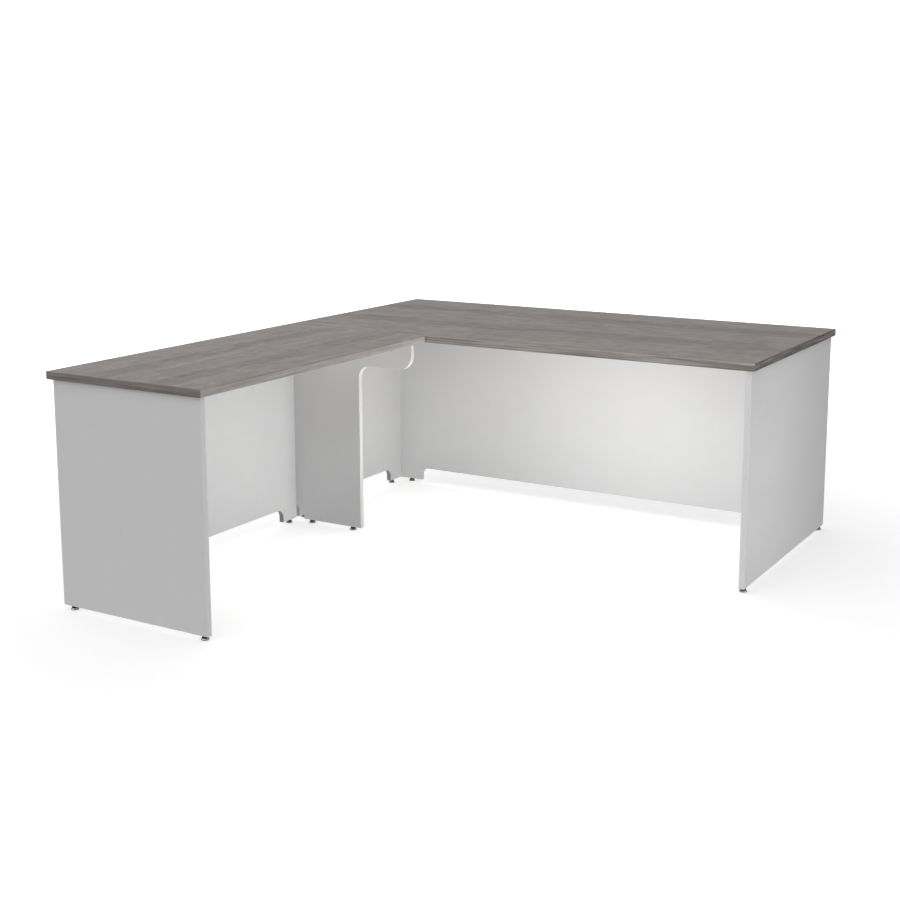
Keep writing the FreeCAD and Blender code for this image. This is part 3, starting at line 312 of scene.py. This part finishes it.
def white_edging(name, level):
    """Plastic edge tape: smoother than the face, with fine draw lines along the strip and buffed arrises."""
    made, g = material(name)
    x, y, z = g.object_axes()
    p = g.vector(x, y, z)
    nx, ny, nz = g.object_normal()
    upright = g.math("LESS_THAN", g.math("ABSOLUTE", nz), 0.5)
    # draw lines: along z on upright strips, along the floor on the level ones
    flat = g.vector(g.mul(x, 900.0), g.mul(y, 900.0), g.mul(z, 9.0))
    level_run = g.vector(g.mul(x, 30.0), g.mul(y, 30.0), g.mul(z, 900.0))
    pick = g.new("ShaderNodeMix", data_type="VECTOR")
    g.feed(pick.inputs[0], upright)
    g.feed(pick.inputs[4], level_run)
    g.feed(pick.inputs[5], flat)
    lines = g.noise(pick.outputs[1], 1.0, 2.0, 0.5)
    mottle = g.noise(p, 40.0, 3.0, 0.55)
    wear_and_sheen = g.edges(0.0010)
    tone = g.add(g.mul(mottle, 0.6), g.mul(lines, 0.4))
    colour = g.ramp(tone, [(0.30, grey(level * 0.975)), (0.50, grey(level)), (0.70, grey(level * 1.015))])
    colour = g.mix_colour(g.mul(wear_and_sheen, 0.30), colour, (level * 0.92, level * 0.92, level * 0.915, 1.0))
    # painted shade: the rounded steps beside the feet are painted grey in place of the white tape, dark on the rear
    # feet of the left panels and lighter on the main modesty panel's steps
    low = g.math("LESS_THAN", z, 0.066)
    painted_step_shade = g.mul(g.mul(g.math("LESS_THAN", x, -0.86), low),
                 g.mul(g.math("GREATER_THAN", y, -0.6), g.remap(ny, -0.12, -0.40, 0.0, 1.0)))
    across = g.mul(g.mul(g.math("GREATER_THAN", y, 0.86), g.math("LESS_THAN", y, 0.895)),
                   g.remap(g.math("ABSOLUTE", nx), 0.12, 0.40, 0.0, 0.30))
    painted_step_shade = g.math("MAXIMUM", painted_step_shade, g.mul(across, low))
    colour = g.mix_colour(painted_step_shade, colour, g.ramp(tone, [(0.30, grey(level * 0.27)), (0.70, grey(level * 0.34))]))
    rough = g.add(g.remap(mottle, 0.3, 0.7, 0.33, 0.42), g.mul(wear_and_sheen, 0.10))
    rough = g.add(rough, g.mul(painted_step_shade, 0.2))
    g.surface(**{"Base Color": colour, "Roughness": rough, "IOR": 1.50,
                 "Specular IOR Level": 0.45,
                 "Normal": g.bump(lines, 0.00006, 0.35)})
    return made


# ------------------------------------------------------------------ fittings

def plated(name, dark, light, rough_low, rough_high, spangle=160.0, wear=0.35, rim_shade_top=0.0, collar_shade_from=0.0):
    """Plated metal: cloudy plating with fine turning marks and brighter rubbed edges. The next to last argument is the
    height above the floor up to which the metal is painted black as contact shade at the lower rim, with a ragged upper
    border.
    The last argument is the height from which the plating is painted dark as shade beside the collar."""
    made, g = material(name)
    x, y, z = g.object_axes()
    p = g.vector(x, y, z)
    cloud = g.noise(p, spangle, 4.0, 0.6)
    fine = g.noise(g.vector(g.mul(x, 900.0), g.mul(y, 900.0), g.mul(z, 4200.0)), 1.0, 2.0, 0.5)
    wear_and_sheen = g.mul(g.edges(0.0007), wear)
    tone = g.add(g.mul(cloud, 0.75), g.mul(fine, 0.25))
    colour = g.ramp(tone, [(0.28, dark), (0.52, tuple((a + b) / 2 for a, b in zip(dark, light))), (0.74, light)])
    colour = g.mix_colour(wear_and_sheen, colour, (*[min(1.0, c * 1.25) for c in light], 1.0))
    rough = g.remap(tone, 0.3, 0.7, rough_high, rough_low)
    metal = 1.0
    # painted shade on the glide base: black, non-metal contact shade at the lower rim and dark shade beside the collar
    if rim_shade_top:
        painted_rim_shade = g.remap(g.add(z, g.mul(g.math("SUBTRACT", cloud, 0.5), 0.0004)), rim_shade_top + 0.0002, rim_shade_top - 0.0002, 0.0, 1.0)
        colour = g.mix_colour(painted_rim_shade, colour, (0.018, 0.018, 0.018, 1.0))
        rough = g.mix(painted_rim_shade, rough, 0.6)
        metal = g.math("SUBTRACT", 1.0, painted_rim_shade)
        painted_collar_shade = g.remap(z, collar_shade_from - 0.0003, collar_shade_from + 0.0003, 0.0, 0.85)
        colour = g.mix_colour(painted_collar_shade, colour, (0.04, 0.04, 0.04, 1.0))
    g.surface(**{"Base Color": colour, "Metallic": metal, "Roughness": rough,
                 "Normal": g.bump(g.add(g.mul(fine, 0.5), cloud), 0.00006, 0.4)})
    return made


def blackened(name):
    """Black-oxide steel: dark, slightly oily, grey where a spanner has rubbed the corners."""
    made, g = material(name)
    x, y, z = g.object_axes()
    p = g.vector(x, y, z)
    cloud = g.noise(p, 240.0, 4.0, 0.6)
    grit = g.noise(p, 2600.0, 2.0, 0.5)
    wear_and_sheen = g.mul(g.edges(0.0006), g.remap(cloud, 0.35, 0.7, 0.2, 1.0))
    colour = g.ramp(cloud, [(0.30, (0.006, 0.006, 0.007)), (0.55, (0.011, 0.011, 0.012)), (0.75, (0.022, 0.021, 0.021))])
    colour = g.mix_colour(g.mul(wear_and_sheen, 0.4), colour, (0.14, 0.136, 0.132, 1.0))
    rough = g.add(g.remap(cloud, 0.3, 0.7, 0.34, 0.50), g.mul(wear_and_sheen, -0.10))
    g.surface(**{"Base Color": colour, "Roughness": rough, "IOR": 1.55,
                 "Specular IOR Level": 0.08,
                 "Normal": g.bump(g.add(grit, cloud), 0.00005, 0.5)})
    return made


def beech(name):
    """Turned beech dowel: straight pale grain with short dark ray flecks."""
    made, g = material(name)
    x, y, z = g.object_axes()
    # the dowels lie along x or along y, so the print is stretched by both and stays fine in z
    stretch = g.vector(g.mul(x, 260.0), g.mul(y, 260.0), g.mul(z, 900.0))
    grain = g.noise(stretch, 1.0, 4.0, 0.6)
    fleck = g.remap(g.noise(g.vector(g.mul(x, 700.0), g.mul(y, 700.0), g.mul(z, 2400.0)), 1.0, 1.0, 0.5), 0.60, 0.72)
    colour = g.ramp(grain, [(0.28, (0.46, 0.30, 0.17)), (0.50, (0.58, 0.40, 0.25)), (0.74, (0.68, 0.50, 0.33))])
    colour = g.mix_colour(g.mul(fleck, 0.4), colour, (0.33, 0.19, 0.10, 1.0))
    g.surface(**{"Base Color": colour, "Roughness": g.remap(grain, 0.3, 0.7, 0.66, 0.54),
                 "Normal": g.bump(grain, 0.0002, 0.4)})
    return made


# ------------------------------------------------------------------ who wears what

LOOKS = {
    "top_laminate": laminate("main top laminate", "x", 2.3, 0.366, 0.390, 0.015),
    "return_laminate": laminate("return top laminate", "y", 41.7, 0.247, -0.769, 0.045),
    "top_edge": top_edging("main top edge tape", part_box("main_top_edge_bands"), 63.1, 4.0, (-0.180, 0.0), (0.205, 0.95)),
    "return_edge": top_edging("return top edge tape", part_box("return_top_edge_bands"), 88.9, 1.3, (0.515, 0.0), (-0.115, 0.10), 0.55),
    "panel_white": melamine("white melamine", 0.72),
    "panel_edge": white_edging("white edge tape", 0.75),
    "zinc_casting": plated("zinc casting", (0.36, 0.36, 0.37), (0.56, 0.56, 0.57), 0.38, 0.58, 420.0, 0.5),
    "zinc_steel": plated("zinc plated steel", (0.48, 0.49, 0.51), (0.70, 0.71, 0.73), 0.26, 0.46, 210.0, 0.3),
    "beech": beech("beech dowel"),
    "glide_nickel": plated("nickel plated steel", (0.46, 0.46, 0.458), (0.74, 0.738, 0.732), 0.14, 0.28, 180.0, 0.4, 0.0024, 0.0047),
    "glide_black": blackened("black oxide steel"),
}

for piece in frame["record"]["subparts"]:
    for node in piece["nodes"] if "nodes" in piece else [piece["node"]]:
        wearer = NODES[node]
        look = LOOKS[piece["material_slot"]]
        wearer.data.materials.clear()
        wearer.data.materials.append(look)

# ------------------------------------------------------------------ floor, light, camera

bpy.ops.mesh.primitive_circle_add(vertices=96, radius=16.0, fill_type="NGON", location=(0.0, 0.0, -0.0004))
floor = bpy.context.object
floor.name = "studio_floor"
paper, g = material("studio paper")
fx, fy, fz = g.object_axes()
wave = g.noise(g.vector(fx, fy, fz), 0.8, 3.0, 0.5)
far = g.math("SQRT", g.add(g.mul(fx, fx), g.mul(fy, fy)))
g.surface(**{"Base Color": g.ramp(wave, [(0.3, grey(0.79)), (0.7, grey(0.81))]), "Roughness": 0.9,
             "Specular IOR Level": 0.05, "Emission Color": (1.0, 1.0, 1.0, 1.0),
             "Emission Strength": g.remap(far, 1.5, 4.5, 0.34, 1.05, smooth=True)})
floor.data.materials.append(paper)
floor.visible_diffuse = False
floor.visible_glossy = False
floor.visible_shadow = False

# the studio's soft light: walls, ceiling and floor of the tent, in units of radiance
TENT = {"ceiling": 0.80, "wall": 0.04, "floor": 1.20, "skirt": 0.10, "front": 0.58, "back": 0.12, "left": 0.53}
world = bpy.data.worlds.new("studio")
SCENE.world = world
world.use_nodes = True
w = Graph(world.node_tree)
place = w.new("ShaderNodeTexCoord")
way = w.new("ShaderNodeSeparateXYZ")
w.tree.links.new(place.outputs["Generated"], way.inputs[0])
dx, dy, dz = way.outputs
over = w.remap(dz, -0.06, 0.10, 0.0, 1.0, smooth=True)
under = w.math("SUBTRACT", 1.0, over)
steep_up = w.remap(dz, 0.30, 0.75, 0.0, 1.0, smooth=True)
steep_down = w.remap(dz, -0.30, -0.75, 0.0, 1.0, smooth=True)
parts = {
    "ceiling": steep_up,
    "wall": w.math("SUBTRACT", over, steep_up),
    "floor": steep_down,
    "skirt": w.math("SUBTRACT", under, steep_down),
    "front": w.mul(w.math("MAXIMUM", w.mul(dy, -1.0), 0.0), over),
    "back": w.mul(w.math("MAXIMUM", dy, 0.0), over),
    "left": w.mul(w.math("MAXIMUM", w.mul(dx, -1.0), 0.0), over),
}
total = None
for key, level in TENT.items():
    share = w.new("ShaderNodeMath", operation="MULTIPLY", name="tent " + key)
    w.feed(share.inputs[0], parts[key])
    share.inputs[1].default_value = level
    total = share.outputs[0] if total is None else w.add(total, share.outputs[0])
fill = w.new("ShaderNodeBackground")
fill.inputs["Color"].default_value = (1.0, 1.0, 1.0, 1.0)
w.feed(fill.inputs["Strength"], total)
seen = w.new("ShaderNodeBackground")
seen.inputs["Color"].default_value = (1.0, 1.0, 1.0, 1.0)
seen.inputs["Strength"].default_value = 1.05
path = w.new("ShaderNodeLightPath")
choose = w.new("ShaderNodeMixShader")
sky = w.new("ShaderNodeOutputWorld")
w.tree.links.new(path.outputs["Is Camera Ray"], choose.inputs[0])
w.tree.links.new(fill.outputs[0], choose.inputs[1])
w.tree.links.new(seen.outputs[0], choose.inputs[2])
w.tree.links.new(choose.outputs[0], sky.inputs["Surface"])


def group(name, state, *things):
    """A light-linking group: the things that a lamp leaves out, or the only ones that it lights."""
    made = bpy.data.collections.new(name)
    for thing in things:
        made.objects.link(thing)
    for member in made.collection_objects:
        member.light_linking.link_state = state
    return made


# the lamps light the desk and leave no pools on the floor
NO_FLOOR = group("not the floor", "EXCLUDE", floor)
NO_FLOOR_NO_GABLE = group("not the floor or the main gable", "EXCLUDE", floor, NODES["main_end_gable"], NODES["main_gable_bands"])
NO_FLOOR_NO_BRACKETS = group("not the floor, the brackets or two panels", "EXCLUDE", floor, NODES["top_brackets"],
                             NODES["bracket_screws"], NODES["main_end_gable"], NODES["corner_support_panel"])
NO_FLOOR_NO_SUPPORT = group("not the floor or the corner support's faces", "EXCLUDE", floor, NODES["corner_support_panel"])
ONLY_FLOOR = group("the floor", "INCLUDE", floor)
ONLY_GABLE = group("the main gable", "INCLUDE", NODES["main_end_gable"])
ONLY_SUPPORT = group("the corner support", "INCLUDE", NODES["corner_support_panel"], NODES["corner_support_bands"])


def softbox(name, place, target, width, height, watts, spread=180.0, mirrored=True, lights=NO_FLOOR):
    data = bpy.data.lights.new(name, "AREA")
    data.shape = "RECTANGLE"
    data.size = width
    data.size_y = height
    data.energy = watts
    data.spread = math.radians(spread)
    lamp = bpy.data.objects.new(name, data)
    SCENE.collection.objects.link(lamp)
    lamp.location = place
    lamp.rotation_euler = (Vector(target) - Vector(place)).to_track_quat("-Z", "Y").to_euler()
    lamp.visible_camera = False
    lamp.visible_glossy = mirrored
    lamp.light_linking.receiver_collection = lights


softbox("knee", (0.27, 0.16, 0.38), (0.27, 1.0, 0.36), 1.05, 0.50, 4.45, mirrored=False, lights=NO_FLOOR_NO_GABLE)
softbox("corner", (0.10, 0.13, 0.35), (-0.9, 0.13, 0.35), 0.30, 0.40, 0.84, spread=120.0, mirrored=False)
softbox("return knee", (-0.31, -0.45, 0.41), (-0.9, -0.36, 0.41), 0.84, 0.56, 0.525, spread=110.0, mirrored=False, lights=NO_FLOOR_NO_SUPPORT)
softbox("support", (-0.52, -0.09, 0.67), (-0.52, 0.12, 0.70), 0.56, 0.06, 0.09, spread=130.0, mirrored=False, lights=ONLY_SUPPORT)
softbox("support front", (-0.76, -0.42, 0.54), (-0.76, 0.12, 0.48), 0.30, 0.30, 0.14, mirrored=False, lights=ONLY_SUPPORT)
softbox("low", (2.90, -0.75, 0.42), (0.0, 0.1, 0.38), 1.2, 0.6, 19.60, lights=NO_FLOOR_NO_BRACKETS)
softbox("gable", (1.91, 0.24, 0.37), (0.90, 0.24, 0.37), 0.50, 0.36, 4.05, mirrored=False, lights=ONLY_GABLE)
softbox("low back", (-0.10, 4.30, 0.40), (-0.1, 0.9, 0.38), 1.6, 0.6, 62.00)
softbox("low left", (-4.20, 0.20, 0.40), (-0.9, 0.0, 0.38), 1.8, 0.6, 38.00, mirrored=False)
# the floor under the tops is as light as the floor around them
softbox("main floor fill", (0.0, 0.52, 0.66), (0.0, 0.52, 0.0), 1.70, 0.62, 5.0, mirrored=False, lights=ONLY_FLOOR)
softbox("return floor fill", (-0.60, -0.47, 0.66), (-0.60, -0.47, 0.0), 0.50, 1.10, 2.6, mirrored=False, lights=ONLY_FLOOR)

lens = bpy.data.cameras.new("camera")
camera = bpy.data.objects.new("camera", lens)
SCENE.collection.objects.link(camera)
lens.sensor_fit = "HORIZONTAL"
lens.sensor_width = 36.0
lens.lens = 56.6804
lens.shift_x = -0.0130065
lens.shift_y = -0.0821468
lens.clip_start = 0.05
lens.clip_end = 100.0
camera.location = (2.339626, -4.110319, 1.496304)
camera.rotation_euler = (math.pi / 2 - 0.1748451672, 0.0, 0.5292337484)
SCENE.camera = camera

SCENE.view_settings.view_transform = "Standard"
SCENE.view_settings.look = "None"
SCENE.view_settings.exposure = 0.0
SCENE.view_settings.gamma = 1.0
